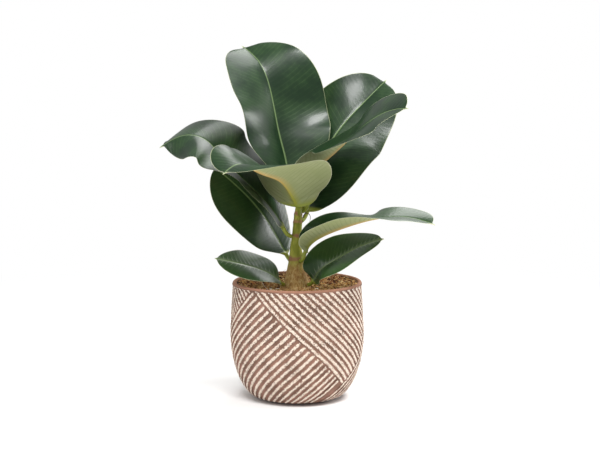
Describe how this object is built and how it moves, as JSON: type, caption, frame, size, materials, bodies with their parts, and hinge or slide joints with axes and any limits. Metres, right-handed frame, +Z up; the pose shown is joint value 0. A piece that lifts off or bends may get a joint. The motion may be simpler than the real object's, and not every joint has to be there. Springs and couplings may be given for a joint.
{
  "type": "potted rubber plant",
  "caption": "Young broad-leaved rubber plant in a round-bellied cover pot with raised slanting ribs, filled with coir mix.",
  "frame": {"origin": "centre of the pot's flat underside", "axes": "+Z up along the pot's axis, +X to the right and +Y away from the plant's front, the side that the arching front leaf reaches towards"},
  "size_m": [0.2774, 0.2057, 0.3695],
  "materials": {
    "terracotta_and_cream": "matt, ribs dry-brushed cream",
    "coir_mix": "rough, fibrous",
    "bark": "speckled bark, green towards the top",
    "leaf_green": "glossy",
    "sheath_green": "satin",
    "dry_sheath": "dry"
  },
  "bodies": {
    "root": {"pot": "terracotta_and_cream", "potting_soil": "coir_mix", "stem": "bark", "top_leaf": "leaf_green", "front_leaf": "leaf_green", "right_leaf": "leaf_green", "back_right_leaf": "leaf_green", "left_leaf": "leaf_green", "lower_left_leaf": "leaf_green", "side_leaf": "leaf_green", "small_right_leaf": "leaf_green", "small_left_leaf": "leaf_green", "growing_tip": "sheath_green", "dried_stipule": "dry_sheath"}
  },
  "joints": []
}
